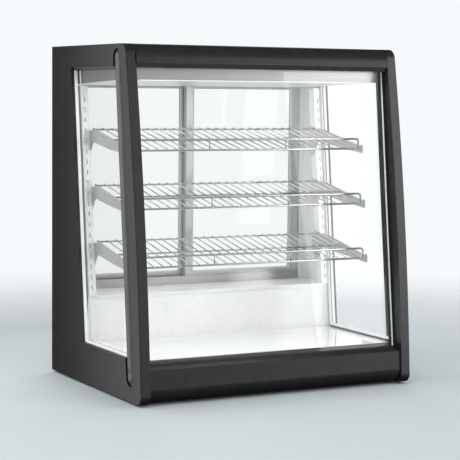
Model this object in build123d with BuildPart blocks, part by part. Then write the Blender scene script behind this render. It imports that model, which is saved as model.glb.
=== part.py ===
"""Countertop bakery display case, millimetres.

Origin at the centre of the footprint, on the worktop. +X runs to the customer's right,
+Y runs back to the sliding doors and +Z is up. Places along the depth are written as a
distance forward from the rear plane and turned into Y by depth_to_y().
"""
from build123d import *
import math
import os

os.makedirs("parts", exist_ok=True)

# ---- driving sizes of the case ----
WIDTH = 711.0
DEPTH = 524.0
HEIGHT = 800.0
FOOT_CLEARANCE = 4.0
LEAN = math.tan(math.radians(6.3))

# ---- end panels ----
SKIN = 14.0
POST_THICKNESS = 24.0
TOP_FRONT_DISTANCE = 431.0
FRONT_BULGE = 13.0
FRONT_OVERRUN = 1.1       # taken off again by the rounded lower corner
TOP_CORNER_RADIUS = 25.0
BOTTOM_CORNER_RADIUS = 20.0
ARRIS_RADIUS = 1.6
WINDOW_REAR = 193.0
WINDOW_FRONT = 442.0
WINDOW_BOTTOM = 101.0
WINDOW_TOP = 749.0
GROOVE_CENTRE = 462.0
GROOVE_WIDTH = 42.0
GROOVE_DEPTH = 4.0
GROOVE_BOTTOM = 38.5
GROOVE_TOP = 789.5
STRIP_CENTRE = GROOVE_CENTRE - 6
POST_REAR = 466.0

# ---- levels inside ----
DECK_Z = 96.0
LEDGE_Z = 207.0
HEADER_Z = 721.0
CEILING_Z = 757.0
PAN_FRONT_Z = 720.0
PAN_REAR_Z = 707.5
LAMP_FRONT = 388.0
LAMP_REAR = 364.0
LAMP_HALF_LENGTH = 290.0
SHEET = 1.5
INNER_WALL = 334.0
DECK_HALF_WIDTH = 331.0
HOUSING_FRONT = 175.0
DECK_FRONT = 468.0

# ---- glass ----
GLASS = 6.0
GLASS_FACE = 490.0
GLASS_HALF_WIDTH = 328.0
SIDE_GLASS_INNER = 335.0
SIDE_GLASS_REAR = 183.0
DOOR_GLASS = 4.0

# ---- sliding doors ----
TRACK_REAR = 2.0
TRACK_FRONT = 47.0
TRACK_WALL = 2.5
TRACK_WALL_TOP = 228.0
JAMB_INNER = 321.5
DOOR_THICKNESS = 15.0
DOOR_OUTER_EDGE = 320.5
DOOR_OVERLAP = 9.5
DOOR_BOTTOM = 213.0
DOOR_TOP = 735.0
STILE = 19.0
BOTTOM_RAIL_TOP = 233.0
TOP_RAIL_BOTTOM = 707.0
DOOR_REAR_FACES = {"left": 6.0, "right": 27.0}

# ---- shelf supports and shelves ----
PILASTER_INNER = 314.0
PILASTER_DEPTH = 25.0
PILASTER_FRONT = 193.0
PILASTER_TOP = 706.0
SLOT_PITCH = 25.0
SLOT_LENGTH = 12.0
SLOT_WIDTH = 3.0
BRACKET_THICKNESS = 2.0
SHELF_PITCH = 133.3
TOP_SHELF_Z = 602.0
TOP_SHELF_REAR = 143.5
SHELF_TILT = math.radians(11.6)
SHELF_LENGTH = 213.0
SHELF_HALF_WIDTH = 310.0
WIRE = 3.0
ROD = 4.5
FRAME_ROD = 5.0
WIRE_PITCH = 23.6
WIRES = 27
FENCE_HEIGHT = 24.0
FENCE_HALF_WIDTH = 306.8
FENCE_CORNER = 7.0

SIDES = {"left": -1, "right": 1}
SHELVES = {"upper": 0, "middle": 1, "lower": 2}


def depth_to_y(distance):
    """Y of a place that lies this far forward of the rear plane."""
    return DEPTH / 2 - distance


def leaning(distance, z):
    """Distance from the rear plane, at height z, of a leaning line met at deck level."""
    return distance - LEAN * (z - DECK_Z)


def point(distance, z):
    """A (Y, Z) profile point from its distance to the rear plane and its height."""
    return (depth_to_y(distance), z)


def leaning_point(distance, z):
    """A (Y, Z) profile point on a leaning line."""
    return point(leaning(distance, z), z)


def finish(builder, name):
    """Label a finished sub-part and write its STEP file."""
    builder.part.label = name
    export_step(builder.part, f"parts/{name}.step")


def slab(x_low, x_high, front, rear, z_low, z_high, mode=Mode.ADD):
    """A block given by its X range, its distances from the rear plane and its heights."""
    middle = (x_low + x_high) / 2
    with Locations((middle, depth_to_y((front + rear) / 2), (z_low + z_high) / 2)):
        Box(x_high - x_low, abs(front - rear), z_high - z_low, mode=mode)


def x_range(side, inner, outer):
    """Low and high X of a band between two distances from the middle plane."""
    return min(side * inner, side * outer), max(side * inner, side * outer)


# ---------------------------------------------------------------- end panels
def front_arc_middle():
    """Middle point of the gently convex front edge."""
    rise = HEIGHT - FOOT_CLEARANCE
    run = DEPTH - TOP_FRONT_DISTANCE
    chord = math.hypot(rise, run)
    distance = (DEPTH + TOP_FRONT_DISTANCE) / 2 + FRONT_BULGE * rise / chord
    return point(distance, (HEIGHT + FOOT_CLEARANCE) / 2 + FRONT_BULGE * run / chord)


def make_end_panel(name, side):
    """Moulded end panel with its window, its front post and the trim groove."""
    with BuildPart() as end_panel:
        with BuildSketch(Plane.YZ.offset(side * WIDTH / 2)) as outline:
            with BuildLine():
                front = ThreePointArc(
                    point(DEPTH + FRONT_OVERRUN, FOOT_CLEARANCE), front_arc_middle(),
                    point(TOP_FRONT_DISTANCE, HEIGHT))
                Polyline(front @ 1, point(0, HEIGHT), point(0, FOOT_CLEARANCE), front @ 0)
            make_face()
            fillet(outline.vertices().sort_by(Axis.X)[0], BOTTOM_CORNER_RADIUS)
            fillet(outline.vertices().group_by(Axis.Y)[-1].sort_by(Axis.X)[0], TOP_CORNER_RADIUS)
        extrude(amount=-side * POST_THICKNESS)
        with BuildSketch(Plane.YZ.offset(side * (WIDTH / 2 - SKIN))):
            with BuildLine():
                Polyline(point(-5, 0), leaning_point(POST_REAR, 0),
                         leaning_point(POST_REAR, HEIGHT + 5), point(-5, HEIGHT + 5), close=True)
            make_face()
        extrude(amount=-side * POST_THICKNESS, mode=Mode.SUBTRACT)
        with BuildSketch(Plane.YZ.offset(side * WIDTH / 2)):
            with BuildLine():
                Polyline(leaning_point(WINDOW_REAR, WINDOW_BOTTOM),
                         leaning_point(WINDOW_FRONT, WINDOW_BOTTOM),
                         leaning_point(WINDOW_FRONT, WINDOW_TOP),
                         leaning_point(WINDOW_REAR, WINDOW_TOP), close=True)
            make_face()
        extrude(amount=-side * SKIN, mode=Mode.SUBTRACT)
        middle_z = (GROOVE_BOTTOM + GROOVE_TOP) / 2
        length = (GROOVE_TOP - GROOVE_BOTTOM) / math.cos(math.atan(LEAN))
        with BuildSketch(Plane.YZ.offset(side * WIDTH / 2)):
            with Locations(leaning_point(GROOVE_CENTRE, middle_z)):
                SlotOverall(length, GROOVE_WIDTH, rotation=90 - math.degrees(math.atan(LEAN)))
        extrude(amount=-side * GROOVE_DEPTH, mode=Mode.SUBTRACT)
        outer_face = end_panel.faces().filter_by(Axis.X).sort_by(Axis.X)[-1 if side > 0 else 0]
        front_edge = outer_face.edges().filter_by(GeomType.CIRCLE).sort_by(Edge.length)[-1]
        fillet(front_edge, ARRIS_RADIUS)
    finish(end_panel, name)


def make_post_insert(name, side):
    """Convex rubber trim strip that lies in the groove of the front post."""
    inset = 8.0
    strip_width = GROOVE_WIDTH - 15
    strip_height = 3.4
    low = leaning_point(STRIP_CENTRE, GROOVE_BOTTOM + inset)
    high = leaning_point(STRIP_CENTRE, GROOVE_TOP - inset)
    floor_x = side * (WIDTH / 2 - GROOVE_DEPTH)
    bottom = Vector(floor_x, *low)
    along = Vector(floor_x, *high) - bottom
    across = along.cross(Vector(side, 0, 0)).normalized()
    with BuildPart() as post_insert:
        with BuildSketch(Plane(origin=bottom, x_dir=across, z_dir=along.normalized())):
            with BuildLine():
                Line((-strip_width / 2, 0), (strip_width / 2, 0))
                ThreePointArc((strip_width / 2, 0), (0, -strip_height),
                              (-strip_width / 2, 0))
            make_face()
        extrude(amount=along.length)
        ends = Plane(origin=(floor_x, 0, 0), x_dir=(0, 1, 0), z_dir=(1, 0, 0))
        middle_z = (GROOVE_BOTTOM + GROOVE_TOP) / 2
        with BuildSketch(ends.offset(-5)):
            with Locations(leaning_point(STRIP_CENTRE, middle_z)):
                SlotOverall(along.length, strip_width,
                            rotation=90 - math.degrees(math.atan(LEAN)))
        extrude(amount=10, mode=Mode.INTERSECT)
    finish(post_insert, name)


# ---------------------------------------------------------------- side walls
def make_side_glass(name, side):
    """Leaning side pane behind the window, from the rear wall to the post."""
    with BuildPart() as side_glass:
        with BuildSketch(Plane.YZ.offset(side * SIDE_GLASS_INNER)):
            with BuildLine():
                Polyline(leaning_point(SIDE_GLASS_REAR, 88), leaning_point(POST_REAR - 1, 88),
                         leaning_point(POST_REAR - 1, 762),
                         leaning_point(SIDE_GLASS_REAR, 762), close=True)
            make_face()
        extrude(amount=side * (GLASS - 0.1))
    finish(side_glass, name)


def glazing_ring(side, inner_x, outer_x, rear, front, band):
    """Three-sided strip round the rear, lower and upper edges of a side window."""
    low, high = WINDOW_BOTTOM, WINDOW_TOP
    with BuildSketch(Plane.YZ.offset(side * inner_x)) as ring:
        with BuildLine():
            Polyline(leaning_point(rear, low), leaning_point(front, low),
                     leaning_point(front, low + band), leaning_point(rear + band, low + band),
                     leaning_point(rear + band, high - band), leaning_point(front, high - band),
                     leaning_point(front, high), leaning_point(rear, high), close=True)
        make_face()
    extrude(ring.sketch, amount=side * (outer_x - inner_x))


def make_glazing_beads(name, side):
    """Pale beads on both faces of a side pane, along its rear, lower and upper edges."""
    with BuildPart() as glazing_beads:
        glazing_ring(side, SIDE_GLASS_INNER - 2.5, SIDE_GLASS_INNER, WINDOW_REAR + 0.6,
                     POST_REAR - 2, 7.0)
        glazing_ring(side, SIDE_GLASS_INNER + GLASS, SIDE_GLASS_INNER + GLASS + 7, WINDOW_REAR,
                     WINDOW_FRONT - 0.5, 3.0)
    finish(glazing_beads, name)


def make_wall_liner(name, side):
    """Bright inner side wall behind the glass, with the jamb for the sliding doors."""
    low, high = LEDGE_Z, CEILING_Z - SHEET
    rear_of_glass = SIDE_GLASS_REAR - 0.5
    with BuildPart() as wall_liner:
        with BuildSketch(Plane.YZ.offset(side * INNER_WALL)):
            with BuildLine():
                Polyline(point(8, DECK_Z), leaning_point(rear_of_glass, DECK_Z),
                         leaning_point(rear_of_glass, high), point(TRACK_REAR, high),
                         point(TRACK_REAR, low), point(8, low), close=True)
            make_face()
        extrude(amount=side * (WIDTH / 2 - SKIN - INNER_WALL))
        slab(*x_range(side, JAMB_INNER, INNER_WALL), TRACK_FRONT, TRACK_REAR, low, high)
    finish(wall_liner, name)


def make_pilaster(name, side):
    """Leaning slotted channel that carries the shelf brackets."""
    wall = 1.5
    angle = math.atan(LEAN)
    foot_z = LEDGE_Z + 0.3
    length = (PILASTER_TOP - foot_z) / math.cos(angle)
    middle = side * (PILASTER_INNER + INNER_WALL) / 2
    width = INNER_WALL - PILASTER_INNER
    foot = Vector(middle, *leaning_point(PILASTER_FRONT, foot_z))
    face = Plane(origin=foot, x_dir=(1, 0, 0), z_dir=(0, -math.cos(angle), math.sin(angle)))
    slots = int(length / SLOT_PITCH) - 1
    first = SLOT_PITCH * 0.8
    with BuildPart() as pilaster:
        with BuildSketch(face):
            with Locations((0, length / 2)):
                Rectangle(width, length)
        extrude(amount=-PILASTER_DEPTH)
        with BuildSketch(face.offset(-wall)):
            with Locations((0, length / 2)):
                Rectangle(width - 2 * wall, length + 40)
        extrude(amount=-PILASTER_DEPTH, mode=Mode.SUBTRACT)
        with BuildSketch(face):
            with Locations(*[(0, first + i * SLOT_PITCH) for i in range(slots)]):
                SlotOverall(SLOT_LENGTH, SLOT_WIDTH, rotation=90)
        extrude(amount=-2 * wall, mode=Mode.SUBTRACT)
        slab(-400, 400, 500, 0, foot_z - 30, foot_z, mode=Mode.SUBTRACT)
    finish(pilaster, name)


# ---------------------------------------------------------------- shelf brackets
def make_bracket(name, side, level):
    """Pressed-steel bracket: a root plate with a hook and a tail, and a tapering arm."""
    drop = level * SHELF_PITCH
    forward = LEAN * drop

    def at(distance, z):
        return point(distance + forward, z - drop)

    with BuildPart() as bracket:
        plane_x = side * (PILASTER_INNER - 0.1)
        with BuildSketch(Plane.YZ.offset(plane_x)):
            with BuildLine():
                tail = ThreePointArc(at(136, 543), at(125.5, 534.5), at(115, 542))
                shoulder = ThreePointArc(at(101, 590), at(104, 600), at(113, 604.5))
                notch = ThreePointArc(at(138.5, 600), at(144, 597.2), at(149.5, 600.5))
                tip = ThreePointArc(at(357, 569), at(362, 567), at(363, 561))
                throat = ThreePointArc(at(172, 570.5), at(157, 570.5), at(148.5, 560))
                Polyline(tail @ 1, at(103, 562), shoulder @ 0)
                Polyline(shoulder @ 1, at(116.5, 611), at(119.5, 604.5), notch @ 0)
                Polyline(notch @ 1, at(156, 603), at(186, 600.5), at(350, 566.5), tip @ 0)
                Polyline(tip @ 1, at(363, 548), at(255, 558.8), throat @ 0)
                Line(throat @ 1, tail @ 0)
            make_face()
            with Locations(at(211, 587.5)):
                Circle(3.0, mode=Mode.SUBTRACT)
        extrude(amount=-side * BRACKET_THICKNESS)
        tab = x_range(side, SHELF_HALF_WIDTH - 5, PILASTER_INNER - BRACKET_THICKNESS)
        for along in (0, SHELF_LENGTH):
            rest_y, rest_z = shelf_point(along, 0, level)
            distance = DEPTH / 2 - rest_y
            tab_top = rest_z - FRAME_ROD / 2 - 0.1
            slab(*tab, distance + 4, distance - 4, tab_top - 2, tab_top)
    finish(bracket, name)


# ---------------------------------------------------------------- wire shelves
def shelf_point(along, above, level):
    """A (Y, Z) point from a distance along the tilted shelf and a height square to it."""
    drop = level * SHELF_PITCH
    distance = (TOP_SHELF_REAR + LEAN * drop + along * math.cos(SHELF_TILT)
                + above * math.sin(SHELF_TILT))
    z = TOP_SHELF_Z - drop - along * math.sin(SHELF_TILT) + above * math.cos(SHELF_TILT)
    return point(distance, z)


def cross_rod(along, above, level, half_width, diameter):
    """One straight rod that runs from side to side."""
    with BuildSketch(Plane.YZ.offset(-half_width)) as section:
        with Locations(shelf_point(along, above, level)):
            Circle(diameter / 2)
    extrude(section.sketch, amount=2 * half_width)


def make_shelf(name, level):
    """Tilted wire shelf: cross rods, front-to-back wires and a low fence at the front."""
    lift = (ROD + WIRE) / 2 - 0.8
    tilt_dir = Vector(0, -math.cos(SHELF_TILT), -math.sin(SHELF_TILT))
    with BuildPart() as shelf:
        for along in (0, SHELF_LENGTH * 0.5):
            cross_rod(along, 0, level, SHELF_HALF_WIDTH, ROD)
        cross_rod(SHELF_LENGTH, 0, level, SHELF_HALF_WIDTH, FRAME_ROD)
        start = shelf_point(-4, lift, level)
        for i in range(WIRES):
            x = (i - (WIRES - 1) / 2) * WIRE_PITCH
            with BuildSketch(Plane(origin=(x, *start), x_dir=(1, 0, 0), z_dir=tilt_dir)):
                Circle(WIRE / 2)
            extrude(amount=SHELF_LENGTH + 4)
        fence_foot = shelf_point(SHELF_LENGTH, 0, level)
        top = fence_foot[1] + FENCE_HEIGHT
        corner = FENCE_CORNER
        with BuildLine(Plane.XZ.offset(-fence_foot[0])) as fence_path:
            FilletPolyline((-FENCE_HALF_WIDTH, fence_foot[1]), (-FENCE_HALF_WIDTH, top),
                           (FENCE_HALF_WIDTH, top), (FENCE_HALF_WIDTH, fence_foot[1]),
                           radius=corner)
        with BuildSketch(Plane(origin=fence_path.line @ 0, z_dir=fence_path.line % 0)):
            Circle(FRAME_ROD / 2)
        sweep(path=fence_path.line)
        for x in (-FENCE_HALF_WIDTH / 3, FENCE_HALF_WIDTH / 3):
            with Locations((x, fence_foot[0], fence_foot[1] + FENCE_HEIGHT / 2)):
                Cylinder(WIRE / 2, FENCE_HEIGHT)
    finish(shelf, name)


# ---------------------------------------------------------------- top of the case
def make_top_front_rail():
    """Hollow, rounded upper front rail between the posts."""
    half = WIDTH / 2 - POST_THICKNESS - 0.1
    front, rear, radius, wall = 441.0, 392.0, 36.0, 2.5
    roof = 792.0
    with BuildPart() as top_front_rail:
        with BuildSketch(Plane.YZ.offset(-half)):
            with BuildLine():
                nose = RadiusArc(point(front - 0.5, HEIGHT - radius),
                                 point(front - radius, HEIGHT), radius + 0.3)
                Polyline(nose @ 1, point(rear, HEIGHT), point(rear, roof),
                         point(leaning(GLASS_FACE, roof) + 1, roof),
                         point(leaning(GLASS_FACE, CEILING_Z) + 1, CEILING_Z),
                         point(front, CEILING_Z), nose @ 0)
            make_face()
            offset(amount=-wall, mode=Mode.SUBTRACT)
        extrude(amount=2 * half)
    finish(top_front_rail, "top_front_rail")


def make_top_rail_lip():
    """Pale lip that closes the upper edge of the front glass."""
    half = WIDTH / 2 - POST_THICKNESS - 0.1
    low = CEILING_Z - 10
    with BuildPart() as top_rail_lip:
        with BuildSketch(Plane.YZ.offset(-half)):
            with BuildLine():
                Polyline(point(437.5, CEILING_Z), point(432.5, low),
                         point(leaning(GLASS_FACE, low) + 0.3, low),
                         point(leaning(GLASS_FACE, CEILING_Z) + 0.3, CEILING_Z), close=True)
            make_face()
        extrude(amount=2 * half)
    finish(top_rail_lip, "top_rail_lip")


def make_top_panel():
    """Flat roof sheet with a folded-down rear edge."""
    half = WIDTH / 2 - SKIN - 0.2
    with BuildPart() as top_panel:
        slab(-half, half, 386, 0.5, HEIGHT - 2, HEIGHT)
        slab(-half, half, 2.0, 0.5, CEILING_Z + 0.5, HEIGHT - 2)
    finish(top_panel, "top_panel")


def make_ceiling_liner():
    """Inner ceiling sheet, with an upstand behind the front glass."""
    front = leaning(POST_REAR, CEILING_Z) - 1
    upstand = DECK_HALF_WIDTH
    with BuildPart() as ceiling_liner:
        slab(-INNER_WALL, INNER_WALL, front, TRACK_REAR + 1, CEILING_Z, CEILING_Z + SHEET)
        slab(-upstand, upstand, front, front - SHEET, CEILING_Z, HEIGHT - 10)
    finish(ceiling_liner, "ceiling_liner")


def make_header():
    """Folded pan under the ceiling: a front face, side faces and a floor that falls rearward."""
    half = DECK_HALF_WIDTH
    front, bend, rear = 407.0, 352.0, TRACK_FRONT + 1.5

    def pan_profile(inset):
        """Outline of the pan, or of the room inside it, drawn in by the sheet thickness."""
        Polyline(point(front - inset, CEILING_Z), point(front - inset, PAN_FRONT_Z + inset),
                 point(bend, PAN_FRONT_Z + inset), point(rear + inset, PAN_REAR_Z + inset),
                 point(rear + inset, CEILING_Z), close=True)

    with BuildPart() as header:
        with BuildSketch(Plane.YZ.offset(-half)):
            with BuildLine():
                pan_profile(0)
            make_face()
        extrude(amount=2 * half)
        with BuildSketch(Plane.YZ.offset(SHEET - half)):
            with BuildLine():
                pan_profile(SHEET)
            make_face()
        extrude(amount=2 * (half - SHEET), mode=Mode.SUBTRACT)
        slab(-LAMP_HALF_LENGTH - 0.2, LAMP_HALF_LENGTH + 0.2, LAMP_FRONT - 1.8, LAMP_REAR + 1.8,
             PAN_FRONT_Z - 1, PAN_FRONT_Z + SHEET, mode=Mode.SUBTRACT)
    finish(header, "header")


def make_lamp():
    """Slim lamp let into the floor of the pan: housing, diffuser and end caps."""
    front, rear, half = LAMP_FRONT, LAMP_REAR, LAMP_HALF_LENGTH
    low = PAN_FRONT_Z + SHEET
    with BuildPart() as lamp_housing:
        slab(-half, half, front, rear, low, low + 7)
        slab(-half, half, front - 2, rear + 2, low, low + 5, mode=Mode.SUBTRACT)
    finish(lamp_housing, "lamp_housing")
    with BuildPart() as lamp_diffuser:
        middle = (front + rear) / 2
        with BuildSketch(Plane.YZ.offset(-half)):
            with BuildLine():
                chord = Line(point(front - 2, low), point(rear + 2, low))
                ThreePointArc(chord @ 0, point(middle, low - 2.5), chord @ 1)
            make_face()
            with Locations(point(middle, low + 2)):
                Rectangle(front - rear - 4.2, 4)
        extrude(amount=2 * half)
    finish(lamp_diffuser, "lamp_diffuser")
    with BuildPart() as lamp_end_caps:
        for side in SIDES.values():
            slab(*x_range(side, half, half + 4), front + 0.5, rear - 0.5, low, low + 7.5)
    finish(lamp_end_caps, "lamp_end_caps")


# ---------------------------------------------------------------- front glass
def make_front_glass():
    """Flat leaning front pane, seated in the sill and behind the upper rail."""
    with BuildPart() as front_glass:
        with BuildSketch(Plane.YZ.offset(-GLASS_HALF_WIDTH)):
            with BuildLine():
                Polyline(leaning_point(GLASS_FACE, 85), leaning_point(GLASS_FACE - GLASS, 85),
                         leaning_point(GLASS_FACE - GLASS, 788),
                         leaning_point(GLASS_FACE, 788), close=True)
            make_face()
        extrude(amount=2 * GLASS_HALF_WIDTH)
    finish(front_glass, "front_glass")


def make_glass_seal(name, side):
    """Black edge seal between the front pane and a post, with a lip behind the pane."""
    post = WIDTH / 2 - POST_THICKNESS
    low, high = 97.0, CEILING_Z - 10.5
    with BuildPart() as glass_seal:
        with BuildSketch(Plane.YZ.offset(side * (post - 0.1))):
            with BuildLine():
                Polyline(leaning_point(GLASS_FACE + 0.5, low),
                         leaning_point(GLASS_FACE - GLASS - 3, low),
                         leaning_point(GLASS_FACE - GLASS - 3, high),
                         leaning_point(GLASS_FACE + 0.5, high), close=True)
            make_face()
        extrude(amount=-side * (post - GLASS_HALF_WIDTH - 0.2))
        with BuildSketch(Plane.YZ.offset(side * (post - 0.1))):
            with BuildLine():
                Polyline(leaning_point(GLASS_FACE - GLASS - 0.1, low),
                         leaning_point(GLASS_FACE - GLASS - 3, low),
                         leaning_point(GLASS_FACE - GLASS - 3, high),
                         leaning_point(GLASS_FACE - GLASS - 0.1, high), close=True)
            make_face()
        extrude(amount=-side * 9)
    finish(glass_seal, name)


# ---------------------------------------------------------------- base
def make_bottom_front_rail():
    """Hollow lower front rail with a rounded lower edge and a sloping sill."""
    half = WIDTH / 2 - POST_THICKNESS - 0.1
    wall = 2.5
    low = FOOT_CLEARANCE + 0.5
    front = 519.0
    radius = 33.0
    with BuildPart() as bottom_front_rail:
        with BuildSketch(Plane.YZ.offset(-half)):
            with BuildLine():
                nose = RadiusArc(point(front - radius, low), point(front, low + radius),
                                 radius + 0.1)
                Polyline(nose @ 1, point(515.5, 81), point(DECK_FRONT + 1, 95),
                         point(DECK_FRONT + 1, low), nose @ 0)
            make_face()
            offset(amount=-wall, mode=Mode.SUBTRACT)
        extrude(amount=2 * half)
        with BuildSketch(Plane.YZ.offset(-half)):
            with BuildLine():
                Polyline(point(495, 81.8), point(495, 87), point(481, 91), point(481, 81.8),
                         close=True)
            make_face()
        extrude(amount=2 * half)
        with BuildSketch(Plane.YZ.offset(-half)):
            with BuildLine():
                Polyline(leaning_point(GLASS_FACE + 1.5, 84), leaning_point(GLASS_FACE - 8, 84),
                         leaning_point(GLASS_FACE - 8, 100), leaning_point(GLASS_FACE + 1.5, 100),
                         close=True)
            make_face()
        extrude(amount=2 * half, mode=Mode.SUBTRACT)
    finish(bottom_front_rail, "bottom_front_rail")


def make_sill_gasket():
    """Rubber U-strip that seats the lower edge of the front pane in the sill."""
    with BuildPart() as sill_gasket:
        with BuildSketch(Plane.YZ.offset(-GLASS_HALF_WIDTH)):
            with BuildLine():
                Polyline(leaning_point(GLASS_FACE + 1.4, 84.1),
                         leaning_point(GLASS_FACE + 1.4, 90.5),
                         leaning_point(GLASS_FACE + 0.1, 90.5),
                         leaning_point(GLASS_FACE + 0.1, 84.9),
                         leaning_point(GLASS_FACE - GLASS - 0.1, 84.9),
                         leaning_point(GLASS_FACE - GLASS - 0.1, 94),
                         leaning_point(GLASS_FACE - GLASS - 1.9, 94),
                         leaning_point(GLASS_FACE - GLASS - 1.9, 84.1), close=True)
            make_face()
        extrude(amount=2 * GLASS_HALF_WIDTH)
    finish(sill_gasket, "sill_gasket")


def make_base_pan():
    """Shallow steel tray under the case."""
    half = WIDTH / 2 - SKIN - 0.3
    front, rear = 467.5, 5.3
    low, high = 6.0, 30.0
    with BuildPart() as base_pan:
        slab(-half, half, front, rear, low, high)
        slab(-half + 2, half - 2, front - 2, rear + 2, low + 2, high, mode=Mode.SUBTRACT)
        with BuildSketch(Plane.XY.offset(low)):
            with Locations(*FOOT_PLACES):
                Circle(2.6)
        extrude(amount=3, mode=Mode.SUBTRACT)
    finish(base_pan, "base_pan")


FOOT_PLACES = [(x, depth_to_y(distance)) for distance in (430, 55) for x in (-300, 300)]
FOOT_NAMES = ("foot_front_left", "foot_front_right", "foot_rear_left", "foot_rear_right")


def make_foot(name, place):
    """Round rubber foot with a sunk hole for its screw."""
    with BuildPart() as foot:
        with BuildSketch():
            with Locations(place):
                Circle(17)
        extrude(amount=5.9, taper=8)
        with BuildSketch():
            with Locations(place):
                Circle(5.5)
        extrude(amount=3.4, mode=Mode.SUBTRACT)
        with BuildSketch():
            with Locations(place):
                Circle(2.6)
        extrude(amount=6, mode=Mode.SUBTRACT)
    finish(foot, name)


def make_foot_screws():
    """Pan-head screws that hold the four feet to the base tray."""
    with BuildPart() as foot_screws:
        with BuildSketch(Plane.XY.offset(1.2)):
            with Locations(*FOOT_PLACES):
                Circle(4.6)
        extrude(amount=2.1)
        with BuildSketch(Plane.XY.offset(3.3)):
            with Locations(*FOOT_PLACES):
                Circle(2.4)
        extrude(amount=9)
    finish(foot_screws, "foot_screws")


def make_deck_plate():
    """Glossy white display floor."""
    with BuildPart() as deck_plate:
        slab(-DECK_HALF_WIDTH, DECK_HALF_WIDTH, DECK_FRONT, 150, DECK_Z - 3, DECK_Z)
    finish(deck_plate, "deck_plate")


# ---------------------------------------------------------------- rear housing
def make_housing_front():
    """White panel that closes the low service housing towards the display."""
    half = INNER_WALL - 0.3
    with BuildPart() as housing_front:
        slab(-half, half, HOUSING_FRONT, HOUSING_FRONT - SHEET, DECK_Z, LEDGE_Z - SHEET)
    finish(housing_front, "housing_front_panel")


def make_ledge():
    """Stainless ledge on top of the service housing, folded down at its front edge."""
    half = INNER_WALL - 0.3
    with BuildPart() as ledge:
        slab(-half, half, HOUSING_FRONT + 1.3, 4, LEDGE_Z - SHEET, LEDGE_Z)
        slab(-half, half, HOUSING_FRONT + 1.3, HOUSING_FRONT + 0.1, LEDGE_Z - 9, LEDGE_Z)
    finish(ledge, "ledge")


SWITCH_X = -230.0
INLET_X = 230.0
SERVICE_Z = 60.0
REAR_SCREWS = [(x, z) for z in (22, 190) for x in (-325, -110, 110, 325)]


def rear_plane(distance):
    """Sketch plane parallel to the rear face, seen from behind, X running to the left."""
    return Plane(origin=(0, depth_to_y(distance), 0), x_dir=(-1, 0, 0), z_dir=(0, 1, 0))


def make_rear_lower_panel():
    """Removable service panel with air slots and the switch and inlet cut-outs."""
    half = WIDTH / 2 - SKIN - 0.3
    with BuildPart() as rear_panel:
        slab(-half, half, 5.0, 3.5, 6, LEDGE_Z - SHEET - 0.2)
        with BuildSketch(rear_plane(0)):
            with Locations((-SWITCH_X, SERVICE_Z)):
                Rectangle(20.4, 28.4)
            with Locations((-INLET_X, SERVICE_Z)):
                Rectangle(28.4, 21.4)
            with Locations(*[(-x, z) for x, z in REAR_SCREWS]):
                Circle(2.3)
            with GridLocations(12, 0, 17, 1):
                with Locations((0, 130)):
                    SlotOverall(44, 4, rotation=90)
        extrude(amount=-10, mode=Mode.SUBTRACT)
    finish(rear_panel, "rear_lower_panel")


def make_rear_screws():
    """Pan-head screws round the service panel."""
    with BuildPart() as rear_screws:
        places = [(-x, z) for x, z in REAR_SCREWS]
        with BuildSketch(rear_plane(1.4)):
            with Locations(*places):
                Circle(4.2)
        extrude(amount=-2.1)
        with BuildSketch(rear_plane(3.5)):
            with Locations(*places):
                Circle(2.0)
        extrude(amount=-7)
        with BuildSketch(rear_plane(1.4)):
            with Locations(*places):
                Rectangle(4.6, 0.9)
                Rectangle(0.9, 4.6)
        extrude(amount=-1.2, mode=Mode.SUBTRACT)
    finish(rear_screws, "rear_panel_screws")


def make_power_inlet():
    """Recessed three-pin power inlet in the service panel."""
    with BuildPart() as power_inlet:
        with BuildSketch(rear_plane(1.5)) as flange:
            with Locations((-INLET_X, SERVICE_Z)):
                Rectangle(48, 24)
            fillet(flange.vertices(), 4)
        extrude(amount=-2)
        with BuildSketch(rear_plane(3.5)):
            with Locations((-INLET_X, SERVICE_Z)):
                Rectangle(28, 21)
        extrude(amount=-19)
        with BuildSketch(rear_plane(1.5)) as mouth:
            with Locations((-INLET_X, SERVICE_Z)):
                Rectangle(24.4, 16.4)
            chamfer(mouth.vertices().group_by(Axis.Y)[-1], 3.5)
        extrude(amount=-16, mode=Mode.SUBTRACT)
        with BuildSketch(rear_plane(17.5)):
            with Locations((-INLET_X - 7, SERVICE_Z - 2), (-INLET_X, SERVICE_Z + 2),
                           (-INLET_X + 7, SERVICE_Z - 2)):
                Rectangle(2, 4)
        extrude(amount=11)
    finish(power_inlet, "power_inlet")


ROCKER_REST = 9.0
ROCKER_AXIS_DISTANCE = 9.0


def make_power_switch():
    """Rocker switch: a bezel clipped in the panel and a rocker that tips on its pins."""
    with BuildPart() as switch_bezel:
        with BuildSketch(rear_plane(1.5)):
            with Locations((-SWITCH_X, SERVICE_Z)):
                RectangleRounded(24, 32, 2)
        extrude(amount=-2)
        with BuildSketch(rear_plane(3.5)):
            with Locations((-SWITCH_X, SERVICE_Z)):
                Rectangle(20, 28)
        extrude(amount=-19)
        with BuildSketch(rear_plane(0)):
            with Locations((-SWITCH_X, SERVICE_Z)):
                Rectangle(15, 24)
        extrude(amount=-20, mode=Mode.SUBTRACT)
    finish(switch_bezel, "switch_bezel")
    axis = Vector(SWITCH_X, depth_to_y(ROCKER_AXIS_DISTANCE), SERVICE_Z)
    tilt = math.radians(ROCKER_REST)
    section = Plane(origin=axis - Vector(7.2, 0, 0), x_dir=(0, math.cos(tilt), math.sin(tilt)),
                    z_dir=(1, 0, 0))
    with BuildPart() as switch_rocker:
        with BuildSketch(section):
            with BuildLine():
                crown = ThreePointArc((6.6, -10.2), (4.6, 0), (6.6, 10.2))
                back = ThreePointArc((-2.6, 4.2), (-3.8, 0), (-2.6, -4.2))
                Line(crown @ 1, back @ 0)
                Line(back @ 1, crown @ 0)
            make_face()
        extrude(amount=14.4)
    finish(switch_rocker, "switch_rocker")


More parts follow.
